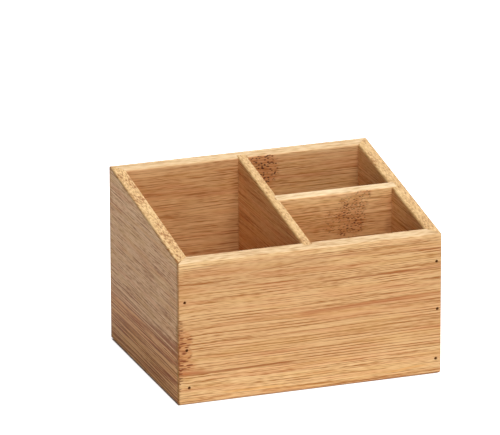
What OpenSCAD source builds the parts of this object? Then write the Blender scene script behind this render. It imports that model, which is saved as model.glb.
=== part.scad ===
// Desk organizer of mitred bamboo boards. A long compartment on the left and
// two short ones on the right stand under a top that slopes down to the front.
// The base is let into a groove round the walls, the dividers into housings,
// and pins hold the four mitred corners.

/* [Box] */
// Overall width, left to right
body_w = 150; // [120:1:240]
// Overall depth, front to back
body_d = 115; // [95:1:200]
// Height of the front board's outer face
front_h = 80; // [60:1:94]
// Height of the back board's outer face
back_h = 100; // [95:1:150]

/* [Boards] */
// Thickness of the four wall boards
wall_t = 7.5; // [6:0.5:10]
// Thickness of the divider that runs front to back
long_divider_t = 5.5; // [4:0.5:8]
// Thickness of the divider between the two short compartments
cross_divider_t = 6; // [4:0.5:8]
// Thickness of the base board
base_t = 4; // [3:0.5:6]
// Gap under the base board, from the table up
base_lift = 3; // [2:0.5:8]
// Width that is sanded off every outer and top arris
edge_ease = 0.6; // [0.3:0.1:1]

/* [Compartments] */
// Offset of the long divider from the middle, towards the right
long_divider_x = 0; // [-20:0.5:20]
// Inner depth of the rear short compartment
rear_cell_d = 45.5; // [25:0.5:55]

/* [Joints] */
// Depth of the groove in the walls that holds the base board
groove_depth = 3; // [1.5:0.5:4]
// Depth of the housings in the walls that hold the dividers
housing_depth = 3; // [1.5:0.5:4]
// Depth of the housing in the long divider that holds the cross divider
cross_housing_depth = 1.5; // [1:0.5:2]
// Glue line beside a board in its groove or housing
glue_gap = 0.1; // [0.05:0.05:0.2]

/* [Pins] */
// Diameter of a pin's shank
pin_d = 1.2; // [1:0.1:1.6]
// Diameter of a pin's head
pin_head_d = 1.6; // [1.4:0.1:2]
// Height of a pin's head
pin_head_t = 0.5; // [0.3:0.1:0.8]
// Length of a pin over its head and point
pin_l = 16; // [12:1:20]
// Length of a pin's point
pin_point_l = 2; // [1:0.5:3]
// Depth of a pin's head below the board's face
pin_sink = 0.3; // [0.1:0.1:0.6]
// Running gap round a pin in its hole
pin_gap = 0.05; // [0.02:0.01:0.1]
// Height of the lowest pins above the compartments' floor
pin_lift = 2; // [1.5:0.5:8]

/* [Hidden] */

// Colours of bamboo in long grain, in end grain and inside, and of the pins
face_wood = "#d6a468";
side_wood = "#c2925c";
inner_wood = "#c98f55";
pin_steel = "#5b4a3a";

// Overrun of a cutter past the face that it cuts
overrun = 1;
// Sides of the pins and their holes
round_sides = 24;

// The pins of a corner, driven by hand: how far each is from the corner, as a
// share of the wall, and how high, as a share of the height over the lowest
front_left_inset_share = [0.5, 0.63, 0.8];
front_left_height_share = [0.69, 0.31, 0.01];
front_right_inset_share = [0.4, 0.32, 0.42];
front_right_height_share = [0.78, 0.4, 0];
back_left_inset_share = [0.55, 0.45, 0.6];
back_left_height_share = [0.8, 0.42, 0.01];
back_right_inset_share = [0.48, 0.6, 0.4];
back_right_height_share = [0.77, 0.38, 0.02];

// Faces of the walls, in the frame that has the box's bottom centre as origin
outer_x = body_w / 2;
outer_y = body_d / 2;
inner_x = outer_x - wall_t;
inner_y = outer_y - wall_t;
floor_z = base_lift + base_t;

// The top slopes from the back board's outer face to the front board's
slope = (back_h - front_h) / body_d;
slope_angle = atan(slope);
// Length of a cutter that passes the whole box in any direction
reach = 2 * (body_w + body_d + back_h);

// Faces of the dividers
long_left_x = long_divider_x - long_divider_t / 2;
long_right_x = long_divider_x + long_divider_t / 2;
cross_rear_y = inner_y - rear_cell_d;
cross_front_y = cross_rear_y - cross_divider_t;

// Height of the sloping top over depth y
function top_z(y) = front_h + (y + outer_y) * slope;

// Everything above the sloping top
module above_top() {
    translate([-reach / 2, -outer_y, front_h])
        rotate([slope_angle, 0, 0])
            translate([0, -reach / 2, 0])
                cube([reach, reach, reach]);
}

// A square bar that takes edge_ease off the arris that it lies along
module arris_bar() {
    side = edge_ease * sqrt(2);
    rotate([45, 0, 0])
        cube([reach, side, side], center = true);
}

// Eases a top arris that runs left to right at depth y
module ease_across(y) {
    translate([0, y, top_z(y)])
        arris_bar();
}

// Eases a top arris that runs down the slope at width x
module ease_down_slope(x) {
    translate([x, -outer_y, front_h])
        rotate([slope_angle, 0, 0])
            rotate([0, 0, 90])
                arris_bar();
}

// Eases the four outer arrises on the table
module ease_feet() {
    for (side = [-1, 1]) {
        translate([0, side * outer_y, 0])
            arris_bar();
        translate([side * outer_x, 0, 0])
            rotate([0, 0, 90])
                arris_bar();
    }
}

// A wall board of the given length before its top is cut, its outer face on
// y = 0 and its ends mitred, with the box's upright arrises eased
module mitred_board(length) {
    half = length / 2;
    linear_extrude(height = max(front_h, back_h) + overrun)
        polygon([
            [-half + edge_ease, 0],
            [half - edge_ease, 0],
            [half - edge_ease / 2, edge_ease / 2],
            [half - wall_t, wall_t],
            [-half + wall_t, wall_t],
            [-half + edge_ease / 2, edge_ease / 2]
        ]);
}

// The space that the base board's edges take in the walls
module base_groove() {
    groove_x = inner_x + groove_depth;
    groove_y = inner_y + groove_depth;
    translate([-groove_x, -groove_y, base_lift])
        cube([2 * groove_x, 2 * groove_y, base_t + glue_gap]);
}

// The housings of the long divider in the front and the back board
module long_divider_housing() {
    housing_y = inner_y + housing_depth;
    translate([long_left_x - glue_gap, -housing_y, floor_z])
        cube([long_divider_t + 2 * glue_gap, 2 * housing_y, back_h]);
}

// The housings of the cross divider, from the long divider's to the right wall's
module cross_divider_housing() {
    start_x = long_right_x - cross_housing_depth;
    translate([start_x, cross_front_y - glue_gap, floor_z])
        cube([inner_x + housing_depth - start_x, cross_divider_t + 2 * glue_gap, back_h]);
}

// Places its children at a corner's pins. side is -1 on the left and 1 on the
// right, face is -1 on the front and 1 on the back, and +Z points outwards
module at_pins(side, face, inset_share, height_share) {
    lowest = floor_z + pin_lift;
    wall_h = face < 0 ? front_h : back_h;
    for (i = [0 : len(inset_share) - 1])
        translate([
            side * (outer_x - inset_share[i] * wall_t),
            face * outer_y,
            lowest + height_share[i] * (wall_h - lowest)
        ])
            rotate([-face * 90, 0, 0])
                children();
}

// One pin, its head's top at -pin_sink and its point down -Z
module pin() {
    tip_z = -pin_sink - pin_l;
    rotate_extrude($fn = round_sides)
        polygon([
            [0, tip_z],
            [pin_d / 2, tip_z + pin_point_l],
            [pin_d / 2, -pin_sink - pin_head_t],
            [pin_head_d / 2, -pin_sink - pin_head_t],
            [pin_head_d / 2, -pin_sink],
            [0, -pin_sink]
        ]);
}

// The stepped hole that one pin takes
module pin_hole() {
    depth = pin_sink + pin_l + pin_gap;
    translate([0, 0, -depth])
        cylinder(h = depth, d = pin_d + 2 * pin_gap, $fn = round_sides);
    translate([0, 0, -pin_sink - pin_head_t])
        cylinder(h = pin_sink + pin_head_t + overrun, d = pin_head_d + 2 * pin_gap,
            $fn = round_sides);
}

// The four corners' pins or holes
module at_front_left() {
    at_pins(-1, -1, front_left_inset_share, front_left_height_share)
        children();
}

module at_front_right() {
    at_pins(1, -1, front_right_inset_share, front_right_height_share)
        children();
}

module at_back_left() {
    at_pins(-1, 1, back_left_inset_share, back_left_height_share)
        children();
}

module at_back_right() {
    at_pins(1, 1, back_right_inset_share, back_right_height_share)
        children();
}

// Front board: the low wall, mitred at both ends
module front_panel() {
    color(face_wood)
        difference() {
            translate([0, -outer_y, 0])
                mitred_board(body_w);
            above_top();
            ease_across(-outer_y);
            ease_across(-inner_y);
            ease_feet();
            base_groove();
            long_divider_housing();
            at_front_left() pin_hole();
            at_front_right() pin_hole();
        }
}

// Back board: the high wall, mitred at both ends
module back_panel() {
    color(inner_wood)
        difference() {
            translate([0, outer_y, 0])
                rotate([0, 0, 180])
                    mitred_board(body_w);
            above_top();
            ease_across(outer_y);
            ease_across(inner_y);
            ease_feet();
            base_groove();
            long_divider_housing();
            at_back_left() pin_hole();
            at_back_right() pin_hole();
        }
}

// Left side board, with a sloping top
module left_side() {
    color(side_wood)
        difference() {
            translate([-outer_x, 0, 0])
                rotate([0, 0, -90])
                    mitred_board(body_d);
            above_top();
            ease_down_slope(-outer_x);
            ease_down_slope(-inner_x);
            ease_feet();
            base_groove();
            at_front_left() pin_hole();
            at_back_left() pin_hole();
        }
}

// Right side board, with a sloping top and the cross divider's housing
module right_side() {
    color(side_wood)
        difference() {
            translate([outer_x, 0, 0])
                rotate([0, 0, 90])
                    mitred_board(body_d);
            above_top();
            ease_down_slope(outer_x);
            ease_down_slope(inner_x);
            ease_feet();
            base_groove();
            cross_divider_housing();
            at_front_right() pin_hole();
            at_back_right() pin_hole();
        }
}

// Base board: rests on the groove's lower lip, a glue line clear of its end
module base_panel() {
    base_x = inner_x + groove_depth - glue_gap;
    base_y = inner_y + groove_depth - glue_gap;
    color(inner_wood)
        translate([-base_x, -base_y, base_lift])
            cube([2 * base_x, 2 * base_y, base_t]);
}

// Long divider: front to back, with the cross divider's housing in its right face
module long_divider() {
    end_y = inner_y + housing_depth - glue_gap;
    color(face_wood)
        difference() {
            translate([long_left_x, -end_y, floor_z])
                cube([long_divider_t, 2 * end_y, back_h]);
            above_top();
            ease_down_slope(long_left_x);
            ease_down_slope(long_right_x);
            cross_divider_housing();
        }
}

// Cross divider: from the long divider to the right side board
module cross_divider() {
    start_x = long_right_x - cross_housing_depth + glue_gap;
    end_x = inner_x + housing_depth - glue_gap;
    color(face_wood)
        difference() {
            translate([start_x, cross_front_y, floor_z])
                cube([end_x - start_x, cross_divider_t, back_h]);
            above_top();
            ease_across(cross_front_y);
            ease_across(cross_rear_y);
        }
}

// Pins of the front left corner
module front_left_pins() {
    color(pin_steel)
        at_front_left() pin();
}

// Pins of the front right corner
module front_right_pins() {
    color(pin_steel)
        at_front_right() pin();
}

// Pins of the back left corner
module back_left_pins() {
    color(pin_steel)
        at_back_left() pin();
}

// Pins of the back right corner
module back_right_pins() {
    color(pin_steel)
        at_back_right() pin();
}

front_panel();
back_panel();
left_side();
right_side();
base_panel();
long_divider();
cross_divider();
front_left_pins();
front_right_pins();
back_left_pins();
back_right_pins();
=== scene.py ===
from math import cos, pi, radians, sin

import bmesh
import bpy
from mathutils import Matrix, Vector


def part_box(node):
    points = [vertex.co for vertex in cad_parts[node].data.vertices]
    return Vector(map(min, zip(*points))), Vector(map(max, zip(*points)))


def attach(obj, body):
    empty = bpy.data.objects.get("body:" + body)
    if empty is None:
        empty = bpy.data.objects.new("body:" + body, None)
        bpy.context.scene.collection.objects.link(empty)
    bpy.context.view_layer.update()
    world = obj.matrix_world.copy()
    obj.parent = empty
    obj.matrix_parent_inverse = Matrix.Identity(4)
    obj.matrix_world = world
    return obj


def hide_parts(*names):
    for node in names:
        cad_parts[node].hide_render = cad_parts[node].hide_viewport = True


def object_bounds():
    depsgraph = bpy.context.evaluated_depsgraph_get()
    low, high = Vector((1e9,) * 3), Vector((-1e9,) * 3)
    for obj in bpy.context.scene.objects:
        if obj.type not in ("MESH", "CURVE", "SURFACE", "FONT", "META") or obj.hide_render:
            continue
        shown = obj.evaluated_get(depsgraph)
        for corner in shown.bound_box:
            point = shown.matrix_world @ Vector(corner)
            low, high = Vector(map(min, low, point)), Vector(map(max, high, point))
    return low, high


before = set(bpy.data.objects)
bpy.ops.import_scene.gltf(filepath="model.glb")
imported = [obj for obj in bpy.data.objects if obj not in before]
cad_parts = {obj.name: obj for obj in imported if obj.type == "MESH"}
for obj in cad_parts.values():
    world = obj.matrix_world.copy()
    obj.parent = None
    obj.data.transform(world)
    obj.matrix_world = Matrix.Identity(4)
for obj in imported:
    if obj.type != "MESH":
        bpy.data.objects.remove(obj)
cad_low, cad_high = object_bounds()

# Front board: the low wall, a bamboo board 7.5 mm thick, mitred at both ends and rounded over with
# sandpaper outside and along the top. The base board sits in a groove inside it and the long divider
# in an upright housing. Three pins at each end hold the mitres.
box_width = cad_high.x - cad_low.x
box_depth = cad_high.y - cad_low.y
front_height = 0.080
back_height = 0.100
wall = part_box("front_panel")[1].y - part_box("front_panel")[0].y
compartment_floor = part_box("base_panel")[1].z
slope = (back_height - front_height) / box_depth
rim_up = Vector((0, -slope, 1)).normalized()
rim_front = Vector((0, -box_depth / 2, front_height))

arris_radius = 0.0011
foot_radius = 0.0021
arris_steps = 5
sharpest_curve = radians(30)
glue_line = 0.00005
mitre_line = 0.00004

# Cutters run past the wood, and a housing runs a little way down into the base board's groove.
saw_overrun = 0.010
housing_overrun = 0.001
saw_tolerance = 1e-7
weld_distance = 1e-6

# The least cosine between two ways that count as the same, and as roughly the same.
same_way = 0.999
roughly_same_way = 0.9


def block(low, high):
    """A squared block of wood between two corners."""
    work = bmesh.new()
    size = Vector(high) - Vector(low)
    centre = (Vector(high) + Vector(low)) / 2
    bmesh.ops.create_cube(work, size=1, matrix=Matrix.Translation(centre) @ Matrix.Diagonal(size).to_4x4())
    return work


def saw(work, point, waste):
    """Saws through at a point and takes off the side that the waste direction names."""
    everything = work.verts[:] + work.edges[:] + work.faces[:]
    cut = bmesh.ops.bisect_plane(work, geom=everything, dist=saw_tolerance, plane_co=point,
                                 plane_no=waste, clear_outer=True)["geom_cut"]
    open_edges = [part for part in cut if isinstance(part, bmesh.types.BMEdge)]
    bmesh.ops.holes_fill(work, edges=open_edges, sides=0)
    work.normal_update()


def arris(work, first, second):
    """The edges between a face that looks the first way and a face that looks the second way."""
    def looks(face, direction):
        return face.normal.dot(Vector(direction).normalized()) > same_way
    return [edge for edge in work.edges if len(edge.link_faces) == 2 and (
        looks(edge.link_faces[0], first) and looks(edge.link_faces[1], second)
        or looks(edge.link_faces[0], second) and looks(edge.link_faces[1], first))]


def round_over(work, edges, radius=arris_radius):
    """Rounds the given arrises."""
    bmesh.ops.bevel(work, geom=edges, offset=radius, offset_type="OFFSET", segments=arris_steps,
                    profile=0.5, affect="EDGES", material=-1, clamp_overlap=True)
    work.normal_update()


def piece_from(work, name, finish):
    """Makes a piece of the worked shape, with one finish all over."""
    mesh = bpy.data.meshes.new(name)
    work.to_mesh(mesh)
    work.free()
    mesh.materials.append(finish)
    piece = bpy.data.objects.new(name, mesh)
    bpy.context.scene.collection.objects.link(piece)
    return piece


def carve(piece, work, operation="DIFFERENCE"):
    """Takes a worked shape out of the piece, adds it with UNION, or keeps what both fill with INTERSECT."""
    other = piece_from(work, "other", piece.data.materials[0])
    change = piece.modifiers.new("change", "BOOLEAN")
    change.operation = operation
    change.solver = "EXACT"
    change.object = other
    carved = bpy.data.meshes.new_from_object(piece.evaluated_get(bpy.context.evaluated_depsgraph_get()))
    piece.modifiers.clear()
    piece.data = carved
    bpy.data.objects.remove(other)


def sanded(piece):
    """Shades the flat faces flat and the rounded arrises smooth."""
    piece.data.shade_smooth()
    piece.data.set_sharp_from_angle(angle=sharpest_curve)
    normals = piece.modifiers.new("normals", "WEIGHTED_NORMAL")
    normals.keep_sharp = True


def rounded_box(name, finish):
    """The box's outer shape in one block, its arrises rounded over, those round the foot the most."""
    shape = None
    for axis in range(3):
        work = block((-box_width / 2, -box_depth / 2, 0), (box_width / 2, box_depth / 2, back_height))
        saw(work, rim_front, rim_up)
        for at_foot, radius in ((False, arris_radius), (True, foot_radius)):
            edges = [edge for edge in work.edges
                     if abs((edge.verts[1].co - edge.verts[0].co).normalized()[axis]) > roughly_same_way
                     and (max(vert.co.z for vert in edge.verts) < weld_distance) == at_foot]
            if edges:
                round_over(work, edges, radius)
        if shape is None:
            shape = piece_from(work, name, finish)
        else:
            carve(shape, work, "INTERSECT")
    return shape


def groove():
    """The space that the base board's edges take in the walls."""
    low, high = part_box("base_panel")
    return block(low - Vector((glue_line, glue_line, 0)), high + Vector((glue_line, glue_line, glue_line)))


def housing(node):
    """The space that a divider's end takes, open at the top."""
    low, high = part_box(node)
    top = Vector((high.x + glue_line, high.y + glue_line, back_height + saw_overrun))
    return block(low - Vector((glue_line, glue_line, housing_overrun)), top)


pin_radius = 0.0006
pin_head_radius = 0.0008
pin_head_height = 0.0005
pin_length = 0.016
pin_point = 0.002
pin_sink = 0.0003
pin_gap = 0.00005
lowest_pin = compartment_floor + 0.002
turn_steps = 24

# Each corner's pins: the side and the face that they are on, how far each is from the corner, as a
# share of the wall, and how high, as a share of the height over the lowest.
corner_pins = {
    "front_left_pins": (-1, -1, (0.5, 0.63, 0.8), (0.69, 0.31, 0.01)),
    "front_right_pins": (1, -1, (0.4, 0.32, 0.42), (0.78, 0.4, 0)),
    "back_left_pins": (-1, 1, (0.55, 0.45, 0.6), (0.8, 0.42, 0.01)),
    "back_right_pins": (1, 1, (0.48, 0.6, 0.4), (0.77, 0.38, 0.02)),
}


def turned(corner, outline):
    """Turns an outline of (depth, radius) points round each pin of a corner."""
    side, face, inset_shares, height_shares = corner_pins[corner]
    wall_height = front_height if face < 0 else back_height
    work = bmesh.new()
    for inset_share, height_share in zip(inset_shares, height_shares):
        place = Vector((side * (box_width / 2 - inset_share * wall), face * box_depth / 2,
                        lowest_pin + height_share * (wall_height - lowest_pin)))
        points = [work.verts.new(place + Vector((radius, -face * depth, 0))) for depth, radius in outline]
        lines = [work.edges.new(pair) for pair in zip(points, points[1:])]
        bmesh.ops.spin(work, geom=points + lines, cent=place, axis=(0, 1, 0), dvec=(0, 0, 0),
                       angle=2 * pi, steps=turn_steps, use_merge=True)
    bmesh.ops.remove_doubles(work, verts=work.verts[:], dist=weld_distance)
    bmesh.ops.recalc_face_normals(work, faces=work.faces[:])
    return work


def pin_holes(corner):
    """The stepped holes that a corner's pins are driven into, from outside the wall."""
    depth = pin_sink + pin_length + pin_gap
    step = pin_sink + pin_head_height
    return turned(corner, [
        (-pin_sink, 0), (-pin_sink, pin_head_radius + pin_gap), (step, pin_head_radius + pin_gap),
        (step, pin_radius + pin_gap), (depth, pin_radius + pin_gap), (depth, 0)])


def wall_board(name, outward, corners, finish):
    """One wall sawn off the rounded box, mitred at both ends, grooved for the base and bored for pins."""
    outward = Vector(outward)
    sideways = Vector((-outward.y, outward.x, 0))
    face = Vector((outward.x * box_width / 2, outward.y * box_depth / 2, 0))
    end = Vector((sideways.x * box_width / 2, sideways.y * box_depth / 2, 0))
    work = bmesh.new()
    work.from_mesh(whole_box.data)
    saw(work, face - outward * wall, -outward)
    for direction in (1, -1):
        waste = (sideways * direction - outward).normalized()
        saw(work, face + end * direction - waste * mitre_line, waste)
    round_over(work, arris(work, -outward, rim_up))
    board = piece_from(work, name, finish)
    carve(board, groove())
    for corner in corners:
        carve(board, pin_holes(corner))
    return board


# The board's finish: planed and sanded bamboo, in strips of its own for each board of the box.
def srgb(red, green, blue):
    """A colour as it is read off a colour card, from 0 to 255, for a shader, by the usual curve."""
    return tuple(((level / 255 + 0.055) / 1.055) ** 2.4 if level > 10 else level / 255 / 12.92
                 for level in (red, green, blue))


# A Mix node's colour sockets go by number, because its other kinds of sockets have the same names.
mix_base = 6
mix_over = 7
mix_result = 2


class Signal:
    """One output in a material's nodes. Arithmetic on it adds Math nodes."""

    def __init__(self, socket):
        self.socket = socket

    def node(self, kind, settings=None, sockets=None, output=0):
        """Adds a node to the same material, sets it up and returns one of its outputs."""
        tree = self.socket.id_data
        made = tree.nodes.new(kind)
        for setting, value in (settings or {}).items():
            if setting == "stops":
                ramp = made.color_ramp.elements
                while len(ramp) < len(value):
                    ramp.new(0)
                for stop, (position, colour) in zip(ramp, value):
                    stop.position = position
                    stop.color = (*colour, 1)
            elif setting == "ramp":
                made.color_ramp.interpolation = value
            else:
                setattr(made, setting, value)
        for key, value in (sockets or {}).items():
            if isinstance(value, Signal):
                tree.links.new(value.socket, made.inputs[key])
            else:
                made.inputs[key].default_value = value
        return Signal(made.outputs[output]) if made.outputs else None

    def maths(self, operation, first, second=0.0):
        return self.node("ShaderNodeMath", {"operation": operation}, {0: first, 1: second})

    def __add__(self, other):
        return self.maths("ADD", self, other)

    def __radd__(self, other):
        return self.maths("ADD", other, self)

    def __sub__(self, other):
        return self.maths("SUBTRACT", self, other)

    def __rsub__(self, other):
        return self.maths("SUBTRACT", other, self)

    def __mul__(self, other):
        return self.maths("MULTIPLY", self, other)

    def __rmul__(self, other):
        return self.maths("MULTIPLY", other, self)

    def __truediv__(self, other):
        return self.maths("DIVIDE", self, other)

    def __rtruediv__(self, other):
        return self.maths("DIVIDE", other, self)

    def __abs__(self):
        return self.maths("ABSOLUTE", self)

    def at_most(self, other):
        return self.maths("MINIMUM", self, other)

    def at_least(self, other):
        return self.maths("MAXIMUM", self, other)

    def rise(self, start, end):
        """Goes smoothly from 0 at start to 1 at end."""
        return self.node("ShaderNodeMapRange", {"interpolation_type": "SMOOTHSTEP"},
                         {"Value": self, "From Min": start, "From Max": end})

    def between(self, start, full, fading, end):
        """Goes from 0 at start to 1 at full, and from 1 at fading to 0 at end."""
        return self.rise(start, full) * (1 - self.rise(fading, end))

    def parts(self):
        """The three numbers of a place."""
        split = self.node("ShaderNodeSeparateXYZ", sockets={"Vector": self}).socket.node
        return [Signal(output) for output in split.outputs]

    def tint(self, base, colour):
        """Mixes a colour over the base by this amount. Each is a signal or is read off a colour card."""
        base, colour = (paint if isinstance(paint, Signal) else (*srgb(*paint), 1)
                        for paint in (base, colour))
        return self.node("ShaderNodeMix", {"data_type": "RGBA"},
                         {"Factor": self, mix_base: base, mix_over: colour}, mix_result)


# Each finish has its pale, middle and dark fibres.
face_fibres = ((236, 194, 138), (212, 161, 105), (168, 104, 46))
smooth_fibres = ((238, 206, 158), (225, 187, 136), (194, 148, 96))
blush = (218, 144, 94)
gold = (226, 178, 104)
halo = (190, 112, 56)
brown_line = (170, 104, 54)
red_line = (192, 118, 68)
yellow_line = (232, 172, 96)
end_grain_and_shade = (128, 76, 42)

# All of a finish's lengths are in millimetres, from the middle of the box and up from the table.
# The strips' tones are looked up by height, from the lowest up, and each tone shifts the grain.
millimetres = 1000
lowest_strip = -60
strips_height = 160
strip_shift = 40
# The powers of one number that give a strip's red, green and blue: the darker, the browner.
tone_powers = (1, 1.6, 1.9)

# The fibres sway along a board, and much more within reach of a knot.
oval_edge = (0.25, 1.0)
knot_reach = (24, 10)
drift_sway = 1.6
waver_sway = 0.12
knot_sway = 0.7

# The marks in the grain: how long, wide and deep each is, how ragged, and for one that has an edge,
# where between 0 and 1 that starts and ends.
grain_marks = {
    "drift": ((90, 26, 26), 1, None),
    "waver": ((12, 4, 5), 1, None),
    "wander": ((90, 9, 9), 1, None),
    "hair": ((22, 0.36, 0.5), 0, None),
    "thread": ((70, 0.62, 1.0), 0, None),
    "dash": ((4.5, 0.48, 0.9), 0, None),
    "patch": ((20, 2, 4), 0, None),
    "band": ((90, 9, 10), 2, None),
    "stretch": ((22, 1.2, 3), 0, (0.3, 0.6)),
    "vein": ((60, 1.0, 2.5), 0, (0.34, 0.62)),
    "blush": ((45, 3, 6), 1, (0.48, 0.68)),
    "gold": ((38, 4, 6), 1, (0.48, 0.68)),
    "tooth": ((6, 0.75, 1.2), 0, (0.46, 0.6)),
    "cloud": ((5, 3, 4), 2, (0.35, 0.62)),
}


def strip_tone(level):
    """A strip's tone, which is given in full or as one number."""
    return level if isinstance(level, tuple) else tuple(level ** power for power in tone_powers)


class Grain:
    """How the fibres run in a board of bamboo strips that are glued edge to edge.

    axes names the ways along the grain, across the strips and through the board, and seed sets the
    pattern apart from the other boards'. Each strip has the height where it starts and its tone.
    tilt is how much the fibres climb. A knot has its place along and across, half its length and
    height, its lean and its strength.
    """

    def __init__(self, place, axes, seed, strips, tilt, knots):
        ways = {letter: part * millimetres for letter, part in zip("xyz", place.parts())}
        self.along, self.across, self.through = (ways[letter] for letter in axes)
        self.height = ways["z"]
        self.below_rim = (rim_front.z - rim_front.y * slope) * millimetres + ways["y"] * slope - self.height
        self.tone = place.node("ShaderNodeValToRGB", {"ramp": "CONSTANT", "stops": [
            ((start - lowest_strip) / strips_height, strip_tone(level)) for start, level in strips]},
            {"Fac": (self.across - lowest_strip) / strips_height})
        self.shift = self.tone * strip_shift + seed
        self.wild = 0.0
        self.knots = 0.0
        for along, across, length, height, lean, strength in knots:
            near = self.oval((along, across), (length + knot_reach[0], height + knot_reach[1]))
            knot = self.oval((along, across), (length, height), lean) * strength
            self.wild = near.at_least(self.wild)
            self.knots = knot.at_least(self.knots)
        self.waver = self.mark("waver", self.across)
        drift = self.mark("drift", self.across)
        self.fibre = (self.across - self.along * tilt + drift * drift_sway
                      + self.waver * (waver_sway + self.wild * knot_sway))

    def oval(self, middle, size, lean=0.0):
        """A soft oval on the board's face."""
        run = (self.along - middle[0] - (self.across - middle[1]) * lean) / size[0]
        climb = (self.across - middle[1]) / size[1]
        return 1 - (run * run + climb * climb).rise(*oval_edge)

    def texture(self, kind, size, across, output=0, **sockets):
        """A texture drawn out along the grain to the given size, another one in each strip."""
        point = self.along.node("ShaderNodeCombineXYZ", sockets={
            "X": self.along / size[0] + self.shift, "Y": across / size[1], "Z": self.through / size[2]})
        return point.node(kind, sockets={"Vector": point, "Scale": 1.0, **sockets}, output=output)

    def mark(self, name, across=None):
        """One of the grain's marks, from 0 to 1 where it has an edge, or else as much below 0 as above."""
        size, raggedness, edge = grain_marks[name]
        noise = self.texture("ShaderNodeTexNoise", size, across or self.fibre, Detail=raggedness)
        return noise.rise(*edge) if edge else noise - 0.5

    def flecks(self, size, edge, choice):
        """Small dark spots where bundles of fibres are cut, some stronger than others."""
        bundle = self.texture("ShaderNodeTexVoronoi", size, self.fibre, "Distance")
        pick = self.texture("ShaderNodeTexVoronoi", size, self.fibre, "Color")
        return (1 - bundle.rise(*edge)) * pick.rise(*choice)


# Two sets of long thin lines: how long they are, how far apart, how much they lean through the
# board, and how strong they are. Each comes and goes along its length.
line_sets = ((150, 1.45, 0.4, 1.0), (55, 1.15, -0.7, 0.75))
line_edge = (0.08, 0.34)
faintest_line = 0.35


def long_lines(grain):
    """Long thin lines in the fibres' way, no nearer each other than their distance lets them."""
    lines = 0.0
    for length, distance, lean, strength in line_sets:
        point = grain.along.node("ShaderNodeCombineXYZ", sockets={
            "X": grain.along / length + grain.shift, "Y": (grain.fibre + grain.through * lean) / distance})
        cell = point.node("ShaderNodeTexVoronoi", {"voronoi_dimensions": "2D"},
                          {"Vector": point, "Scale": 1.0}, "Distance")
        lines = ((1 - cell.rise(*line_edge)) * strength).at_least(lines)
    return lines * (faintest_line + grain.mark("stretch") * (1 - faintest_line))


# A rib rises or falls 1.3 times a millimetre across the fibres, but for a slow wander.
rib_rises = 1.3
rib_wander = 3.5
rib_edge = (0.55, 1.0)
faintest_rib = 0.25


def ribs(grain, veins):
    """Fine even ribs along the fibres, stronger in the veins."""
    wave = grain.fibre * rib_rises + grain.mark("wander") * rib_wander
    rib = wave.maths("PINGPONG", wave, 1.0)
    return rib.rise(*rib_edge) * (faintest_rib + veins * (1 - faintest_rib))


# How strongly each mark darkens a board's face, in plain wood and in evenly lined wood.
face_strengths = {
    "hair": (2.0, 1.2), "dash": (1.15, 0.69), "knot_dash": (0.5, 0.3), "thread": (1.1, 1.1),
    "band": (0.2, 0.2), "fleck": (0.32, 0.32), "line": (0.6, 0.35), "rib": (0.3, 0.9),
}
# How strongly each darkens the rim, where the fibres are cut.
rim_strengths = {"hair": 1.3, "dash": 1.5, "patch": 0.9, "band": 0.3, "fleck": 0.2}
# The flecks' size, where between 0 and 1 their edge starts and ends, and how strongly each shows.
fleck_size = (18, 0.6, 0.6)
fleck_edge = (0.18, 0.5)
fleck_choice = (0.2, 0.9)
# The wood's darkness without marks. The lift goes with the contrast.
face_middle = 0.45
face_lift = 0.29
lined_lift = 0.02
vein_middle = 0.45
rim_middle = 0.42


def marks_in(grain):
    """All the marks that darken the wood."""
    veins = grain.mark("vein")
    marks = {name: grain.mark(name) for name in ("hair", "dash", "thread", "band", "patch")}
    marks["knot_dash"] = marks["dash"] * grain.wild
    marks["fleck"] = grain.flecks(fleck_size, fleck_edge, fleck_choice)
    marks["line"] = long_lines(grain)
    marks["rib"] = ribs(grain, veins)
    marks["vein"] = veins - vein_middle
    return marks


def face_darkness(marks, lined, coarse, contrast):
    """How dark the fibres are in a board's face, from 0 for pale to 1 for dark."""
    darkness = marks["vein"] * coarse * lined - lined * lined_lift
    for name, (plain, evenly_lined) in face_strengths.items():
        darkness = darkness + marks[name] * (plain + lined * (evenly_lined - plain))
    return darkness * contrast + face_middle - contrast * face_lift


def rim_darkness(marks, contrast):
    """How dark the cut fibres are in the rim, from 0 for pale to 1 for dark."""
    return sum(marks[name] * strength for name, strength in rim_strengths.items()) * contrast + rim_middle


def fibre_colour(fibres, darkness):
    """The fibres' colour, from the palest to the darkest."""
    return darkness.node("ShaderNodeValToRGB", {"stops": [
        (step / (len(fibres) - 1), srgb(*fibre)) for step, fibre in enumerate(fibres)]}, {"Fac": darkness})


# A streak's edge, in shares of its thickness, its fade at both ends, and how it wavers and varies.
streak_edge = (0.3, 1.0)
streak_fade = 12
streak_waver = 1.2
streak_strength = 0.9


def streaked(wood, grain, marks, streaks):
    """Draws streaks. Each has its two ends, half its thickness, its strength and its colour."""
    for start, end, thickness, strength, colour in streaks:
        climb = (end[1] - start[1]) / (end[0] - start[0])
        middle = (grain.along - start[0]) * climb + start[1]
        beside = abs(grain.across - middle + grain.waver * streak_waver) / thickness
        inside = grain.along.between(start[0], start[0] + streak_fade, end[0] - streak_fade, end[0])
        varied = inside * (streak_strength + marks["thread"]) * strength
        wood = ((1 - beside.rise(*streak_edge)) * varied).tint(wood, colour)
    return wood


# A wall's mitred ends have a dark band with ragged teeth. Its foot is darker, painted shade where it
# stands on the table, and on a side wall a line along the rim's outer arris is darker, painted shade too.
solid_band = 0.3
tooth_reach = (1.2, 2.2)
fewest_teeth = 0.2
tooth_wear = 0.6
most_wear = 0.85
arris_reach = (0.5, 1.6)
arris_line = 0.4
arris_line_edge = (0.1, 0.7)
arris_shade = 0.45
foot_edge = (0.3, 1.8)
foot_shade = 0.3


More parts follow.
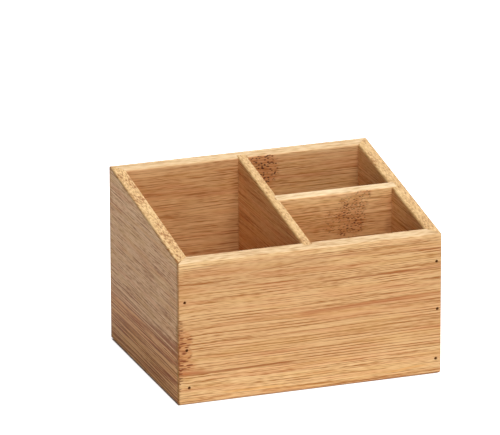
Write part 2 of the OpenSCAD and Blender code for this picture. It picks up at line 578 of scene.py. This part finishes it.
def worn_and_shaded(wood, grain, axes, band, wear, colour, shaded_rim_arris):
    """Wears a wall's mitred ends with a band of the given width, strength and colour, and paints shade
    at its foot and, on a side wall, along the rim's outer arris.
    """
    half_sizes = {"x": box_width * millimetres / 2, "y": box_depth * millimetres / 2}
    from_end = half_sizes[axes[0]] - abs(grain.along)
    from_face = half_sizes[axes[2]] - abs(grain.through)
    teeth = grain.mark("tooth") * (fewest_teeth + grain.wild)
    dark = 1 - from_end.rise(teeth * tooth_reach[0] + band * solid_band, teeth * tooth_reach[1] + band)
    wood = (dark * (teeth * tooth_wear + wear)).at_most(most_wear).tint(wood, colour)
    if shaded_rim_arris:
        # Painted shade: a darker line along the side wall's rounded outer rim arris.
        at_arris = 1 - abs(grain.below_rim - arris_line).rise(*arris_line_edge)
        wood = ((1 - from_face.rise(*arris_reach)) * at_arris * arris_shade).tint(wood, end_grain_and_shade)
    # Painted shade: the wall is darker towards its foot, where it stands on the table.
    return ((1 - grain.height.rise(*foot_edge)) * foot_shade).tint(wood, end_grain_and_shade)


# A knot is a faint brown cloud with dark specks in it.
speck_depth = 1.0
speck_edge = (0.24, 0.48)
speck_choice = (0.15, 0.6)
speck_strength = 1.4
darkest_speck = 0.95
thinnest_cloud = 0.35
cloud_strength = 0.85
halo_strength = 0.4


def knotted(wood, grain, spread, speck_size, scorch):
    """Draws the knots, as far as they spread, with specks of the given length, width and colour."""
    specks = grain.flecks((*speck_size, speck_depth), speck_edge, speck_choice)
    cloud = grain.mark("cloud", grain.across) * cloud_strength + thinnest_cloud
    knots = grain.knots * spread * cloud
    wood = (knots * halo_strength).at_most(halo_strength).tint(wood, halo)
    return (specks * knots * speck_strength).at_most(darkest_speck).tint(wood, scorch)


def new_material(name):
    """A material with no node but the one that gives the place on a piece, in metres."""
    material = bpy.data.materials.new(name)
    material.use_nodes = True
    material.node_tree.nodes.clear()
    return material, Signal(material.node_tree.nodes.new("ShaderNodeTexCoord").outputs["Object"])


# How far below the rim the sanded edge reaches, and the paler wood under it.
sanded_edge = (0.25, 0.7)
paler_edge = (1.0, 7.0)
paler_strength = 0.22
blush_strength = 0.28
gold_strength = 0.2
smoothest_wood = 0.55
dash_roughness = 0.2
fibre_relief = 0.00012
relief_strength = 0.15
wood_sheen = 0.3


def bamboo(name, axes, seed, strips, knots, streaks=(), tilt=0.0, lined=None, coarse=0.1, contrast=1.0,
           fibres=face_fibres, top_fibres=smooth_fibres, worn_ends=None, shaded_rim_arris=False,
           speck_size=(2.1, 0.95), scorch=(112, 58, 26)):
    """The finish of one board: its grain, streaks, wear, painted shade and knots, as the parts above take
    them.

    lined is where evenly lined wood starts, is full, fades and ends across the strips, and coarse is
    how strong its veins are. contrast is how strongly the marks show. fibres are the face's colours,
    and top_fibres the rim's.
    """
    material, place = new_material(name)
    grain = Grain(place, axes, seed, strips, tilt, knots)
    marks = marks_in(grain)
    darkness = face_darkness(marks, grain.across.between(*lined) if lined else 0.0, coarse, contrast)
    wood = (grain.mark("blush") * blush_strength).tint(fibre_colour(fibres, darkness), blush)
    wood = (grain.mark("gold", grain.fibre * -1) * gold_strength).tint(wood, gold)
    wood = streaked(wood, grain, marks, streaks)
    wood = wood.node("ShaderNodeMix", {"data_type": "RGBA", "blend_type": "MULTIPLY"},
                     {"Factor": 1.0, mix_base: wood, mix_over: grain.tone}, mix_result)
    below_edge = grain.below_rim.rise(*sanded_edge)
    paler = (1 - grain.below_rim.rise(*paler_edge)) * paler_strength
    rim = fibre_colour(top_fibres, rim_darkness(marks, contrast))
    wood = (1 - below_edge).at_least(paler).tint(wood, rim)
    if worn_ends:
        wood = worn_and_shaded(wood, grain, axes, *worn_ends, shaded_rim_arris)
    wood = knotted(wood, grain, below_edge, speck_size, scorch)
    relief = wood.node("ShaderNodeBump", sockets={
        "Strength": relief_strength, "Distance": fibre_relief, "Height": darkness})
    shader = wood.node("ShaderNodeBsdfPrincipled", sockets={
        "Base Color": wood, "Roughness": marks["dash"] * dash_roughness + smoothest_wood, "Normal": relief,
        "Specular IOR Level": wood_sheen})
    shader.node("ShaderNodeOutputMaterial", sockets={"Surface": shader})
    return material


# How wide the dark band at a wall's ends is, how strong, and its colour.
light_wear = (0.7, 0.3, end_grain_and_shade)
front_finish = bamboo(
    "front_bamboo", "xzy", 3.1,
    [(lowest_strip, 0.97), (3.4, (1.0, 1.03, 1.06)), (16.6, 0.935), (76.8, 1.06)],
    knots=[(-73.5, 36, 7.5, 6, 0.2, 2.0), (-73, 29, 6.5, 5, 0.1, 1.6), (-72.5, 21.5, 9, 5, -0.2, 2.0)],
    streaks=[
        ((-12, 43.8), (95, 46.8), 1.7, 0.7, red_line), ((-76, 77), (-44, 76.6), 0.45, 0.8, brown_line),
        ((-38, 70.6), (12, 74.6), 0.5, 0.7, brown_line), ((6, 74.6), (84, 71.4), 0.5, 0.5, brown_line),
        ((-34, 72.8), (16, 72.3), 0.4, 0.5, brown_line), ((2, 60.8), (88, 61.2), 0.6, 0.7, brown_line),
        ((-88, 17.3), (-4, 17.4), 0.8, 0.9, brown_line), ((-90, 18), (-54, 18.2), 1.2, 0.9, red_line),
        ((-54, 5.2), (-10, 4.4), 0.9, 0.6, yellow_line), ((38, 4.4), (72, 6.2), 0.9, 0.6, yellow_line),
        ((-95, 69), (16, 69), 12, 0.17, brown_line)],
    tilt=0.006, lined=(13, 17, 42, 58), worn_ends=light_wear, speck_size=(5.0, 1.05), scorch=(124, 54, 12))
whole_box = rounded_box("whole_box", front_finish)
front = wall_board("front_board", (0, -1, 0), ("front_left_pins", "front_right_pins"), front_finish)
carve(front, housing("long_divider"))
sanded(front)
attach(front, "root")
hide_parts("front_panel")

# Back board: the high wall, a bamboo board like the front board, mitred, grooved and housed in the
# same way. Three pins at each end are driven in from behind.
# The knot high on the inner face, just right of the long divider, is real; it is drawn darker and wider, as
# painted shadow.
back_finish = bamboo(
    "back_bamboo", "xzy", 11.7, [(lowest_strip, 0.96), (22, 0.9), (55, 0.93), (80, 0.86), (92, 0.89)],
    knots=[(10, 90, 12, 13, 0.1, 1.9), (-52, 40, 9, 14, 0.2, 0.8)], contrast=0.75,
    worn_ends=light_wear, speck_size=(1.7, 0.8), scorch=(66, 32, 14))
back = wall_board("back_board", (0, 1, 0), ("back_left_pins", "back_right_pins"), back_finish)
carve(back, housing("long_divider"))
sanded(back)
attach(back, "root")
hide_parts("back_panel")

# Side boards: the left and the right wall, of bamboo, mitred and grooved as the others are. Their
# tops are cut to the slope, so the rim shows the fibres sawn at a shallow angle. The right one also
# holds the end of the cross divider.
dull_fibres = ((238, 195, 146), (213, 161, 113), (162, 96, 48))
open_fibres = ((238, 200, 140), (216, 172, 112), (166, 104, 46))
left_finish = bamboo(
    "left_bamboo", "yzx", 23.4, [(lowest_strip, (0.98, 0.85, 0.69)), (28, 0.98), (52, 0.99), (80, 1.02)],
    knots=[(-55, 28, 7, 9, 0.2, 0.8)],
    streaks=[((-66, 31), (0, 31.5), 0.6, 0.5, red_line), ((-66, 26.8), (2, 26.5), 0.5, 0.5, red_line),
             ((-66, 22.5), (-8, 22.6), 0.6, 0.8, red_line)],
    lined=(-8, -4, 28, 44), coarse=1.3, fibres=dull_fibres, top_fibres=open_fibres,
    worn_ends=(3.6, 0.6, (162, 106, 34)), shaded_rim_arris=True, speck_size=(3.6, 0.7), scorch=(132, 66, 32))
left = wall_board("left_board", (-1, 0, 0), ("front_left_pins", "back_left_pins"), left_finish)
sanded(left)
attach(left, "root")
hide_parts("left_side")

right_finish = bamboo(
    "right_bamboo", "yzx", 31.9, [(lowest_strip, 1.0), (24, 0.95), (61, 1.02)],
    knots=[(22, 44, 10, 15, 0.3, 0.8)], contrast=0.65, top_fibres=open_fibres, worn_ends=light_wear,
    shaded_rim_arris=True)
right = wall_board("right_board", (1, 0, 0), ("front_right_pins", "back_right_pins"), right_finish)
carve(right, housing("cross_divider"))
sanded(right)
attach(right, "root")
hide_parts("right_side")
bpy.data.objects.remove(whole_box)

# Base board: one thin bamboo panel, its edges let into the groove round the walls. It stands
# clear of the table, so only the walls' lower edges touch it.
base_easing = 0.0003
base_finish = bamboo(
    "base_bamboo", "xyz", 5.5, [(lowest_strip, 0.97), (-38, 1.0), (-16, 0.95), (6, 1.0), (28, 0.96)],
    knots=[(30, -22, 9, 9, 0.2, 0.8), (-44, 28, 9, 9, 0.2, 0.7)])
base_work = block(*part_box("base_panel"))
round_over(base_work, base_work.edges[:], base_easing)
base = piece_from(base_work, "base_board", base_finish)
sanded(base)
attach(base, "root")
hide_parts("base_panel")

# Long divider: a thinner bamboo board from the front wall to the back wall, let into both. Its right
# face has a shallow housing for the cross divider.

# A divider's end stays square as far as the wall's top is flat.
flat_wall = wall - arris_radius


def divider(name, node, outward, ends, finish):
    """A thin board under the sloping top, its top arrises rounded between its ends, which stay square."""
    low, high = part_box(node)
    outward = Vector(outward)
    lengthways = Vector((abs(outward.y), abs(outward.x), 0))
    top = Vector((high.x, high.y, back_height))
    work = block(low, top)
    saw(work, rim_front, rim_up)
    round_over(work, arris(work, outward, rim_up) + arris(work, -outward, rim_up))
    board = piece_from(work, name, finish)
    for end, waste in zip(ends, (lengthways, -lengthways)):
        square_end = block(low, top)
        saw(square_end, rim_front - rim_up * glue_line, rim_up)
        saw(square_end, lengthways * end, waste)
        carve(board, square_end, "UNION")
    return board


long_finish = bamboo(
    "long_divider_bamboo", "yzx", 43.2, [(lowest_strip, 0.95), (30, 0.92), (70, 0.96)],
    knots=[(-20, 50, 9, 14, 0.3, 0.7)], contrast=0.65, top_fibres=open_fibres)
long_board = divider("long_divider_board", "long_divider", (1, 0, 0),
                     (flat_wall - box_depth / 2, box_depth / 2 - flat_wall), long_finish)
carve(long_board, housing("cross_divider"))
sanded(long_board)
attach(long_board, "root")
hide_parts("long_divider")

# Cross divider: a thin bamboo board between the two short compartments, made as the long divider is
# and let into that and into the right side board.
pale_fibres = ((248, 222, 176), (235, 202, 154), (206, 164, 112))
# Its strips' tones are painted shade and light: darker and redder low down in the compartments, paler near
# the top.
cross_strips_and_shade = [(lowest_strip, (0.9, 0.78, 0.7)), (76, (1.0, 0.95, 0.92)), (83, (1.13, 1.12, 1.1))]
cross_finish = bamboo(
    "cross_divider_bamboo", "xzy", 57.3, cross_strips_and_shade,
    knots=[(51, 88, 6, 4, 0, 1.0), (45, 82, 10, 8, 0, 0.9), (43, 73, 11, 11, 0, 1.2),
           (35, 74, 9, 9, 0.2, 0.6)],
    contrast=0.85, top_fibres=pale_fibres, speck_size=(1.7, 0.7), scorch=(92, 46, 16))
cross_board = divider("cross_divider_board", "cross_divider", (0, 1, 0),
                      (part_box("long_divider")[1].x - arris_radius, box_width / 2 - flat_wall),
                      cross_finish)
sanded(cross_board)
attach(cross_board, "root")
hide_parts("cross_divider")

# Pins: three steel pins in each corner, driven through the front or the back wall into the side
# wall. Their heads are set a little below the wood and have gone dark brown.
head_dome = 0.0001
dome_shares = ((0.25, 0.55), (1, 0.95), (2, 1))
brown_tarnish = (112, 66, 28)
dark_tarnish = (72, 42, 18)
tarnish_scale = 2500.0
tarnish_detail = 3.0
tarnish_edge = (0.35, 0.65)
smoothest_pin = 0.5
tarnish_roughness = 0.3
bare_metal = 0.1
pin_sheen = 0.1
pin_steel, pin_place = new_material("pin_steel")
tarnish = pin_place.node("ShaderNodeTexNoise", sockets={
    "Vector": pin_place, "Scale": tarnish_scale, "Detail": tarnish_detail})
pin_shader = tarnish.node("ShaderNodeBsdfPrincipled", sockets={
    "Base Color": tarnish.rise(*tarnish_edge).tint(brown_tarnish, dark_tarnish),
    "Roughness": tarnish * tarnish_roughness + smoothest_pin, "Metallic": bare_metal,
    "Specular IOR Level": pin_sheen})
pin_shader.node("ShaderNodeOutputMaterial", sockets={"Surface": pin_shader})
dome = [(pin_sink + head_dome * depth, pin_head_radius * radius) for depth, radius in dome_shares]
for corner in corner_pins:
    pin_work = turned(corner, [
        (pin_sink, 0), *dome, (pin_sink + pin_head_height, pin_head_radius),
        (pin_sink + pin_head_height, pin_radius), (pin_sink + pin_length - pin_point, pin_radius),
        (pin_sink + pin_length, 0)])
    three_pins = piece_from(pin_work, corner + "_steel", pin_steel)
    sanded(three_pins)
    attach(three_pins, "root")
    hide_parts(corner)

# Floor: white paper under the box. What the camera sees of it beside the box is topped up to white,
# so that only the soft shadow close to the box shows, on its left and behind it.
paper_colour = (0.8, 0.8, 0.8, 1)
paper_size = 6
topping_up = 0.9
mirror_topping_up = 0.14
topped_up_edge = (-0.0012, -0.0005)
contact_shift = 0.0006


def seen_by(tree):
    """Whether a ray is the camera's own, and whether a mirror or glass sends it on."""
    path = tree.nodes.new("ShaderNodeLightPath").outputs
    mirrored = Signal(path["Is Glossy Ray"]).at_least(Signal(path["Is Transmission Ray"]))
    return Signal(path["Is Camera Ray"]), mirrored


paper, paper_place = new_material("paper")
camera_ray, mirrored = seen_by(paper.node_tree)
rightwards, backwards = paper_place.parts()[:2]
beside_box = (abs(rightwards + contact_shift) - box_width / 2).at_least(
    abs(backwards - contact_shift) - box_depth / 2)
glow = camera_ray * beside_box.rise(*topped_up_edge) * topping_up + mirrored * mirror_topping_up
glow = glow.node("ShaderNodeEmission", sockets={"Color": glow.tint((0, 0, 0), (255, 255, 255))})
matt = glow.node("ShaderNodeBsdfDiffuse", sockets={"Color": paper_colour})
both = matt.node("ShaderNodeAddShader", sockets={0: matt, 1: glow})
both.node("ShaderNodeOutputMaterial", sockets={"Surface": both})
floor_work = bmesh.new()
bmesh.ops.create_grid(floor_work, x_segments=1, y_segments=1, size=paper_size)
floor = piece_from(floor_work, "floor", paper)

# Studio: a pale room, which only the camera and the reflections see, and five soft lamps: one high on
# the right, one each from the front, the right and behind, and a low one on the left.
world = bpy.data.worlds.new("studio")
bpy.context.scene.world = world
world.use_nodes = True
world.node_tree.nodes.clear()
camera_ray, mirrored = seen_by(world.node_tree)
sky = mirrored.node("ShaderNodeBackground", sockets={"Strength": camera_ray.at_least(mirrored)})
sky.node("ShaderNodeOutputWorld", sockets={"Surface": sky})
# Each lamp's turn from the front to the right and its height, in degrees, and its strength.
lamps = {"high": (60, 72, 0.51), "front": (0, 30, 0.36), "right": (80, 30, 0.42),
         "behind": (150, 30, 0.16), "low": (-40, 12, 0.18)}
lamp_softness = radians(25)
for name, (azimuth, height, strength) in lamps.items():
    light = bpy.data.lights.new(name, "SUN")
    light.energy = pi * strength
    light.angle = lamp_softness
    lamp = bpy.data.objects.new(name, light)
    towards = Vector((sin(radians(azimuth)) * cos(radians(height)),
                      -cos(radians(azimuth)) * cos(radians(height)), sin(radians(height))))
    lamp.matrix_world = towards.to_track_quat("Z", "Y").to_matrix().to_4x4()
    bpy.context.scene.collection.objects.link(lamp)

# Camera: a long lens from the front left, looking down a little. Its place, its turns and its lens
# were fitted to the box's edges and corners in the photo.
camera_place = Matrix.Translation((-0.99994, -2.76187, 1.05702))
camera_turn = radians(-19.648)
camera_tip = radians(90 - 18.406)
camera_roll = radians(-0.192)
camera_data = bpy.data.cameras.new("camera")
camera_data.lens = 411.7
camera_data.sensor_width = 36
camera = bpy.data.objects.new("camera", camera_data)
camera.matrix_world = (camera_place @ Matrix.Rotation(camera_turn, 4, "Z")
                       @ Matrix.Rotation(camera_tip, 4, "X") @ Matrix.Rotation(camera_roll, 4, "Z"))
bpy.context.scene.collection.objects.link(camera)
bpy.context.scene.camera = camera
bpy.context.scene.view_settings.view_transform = "Standard"
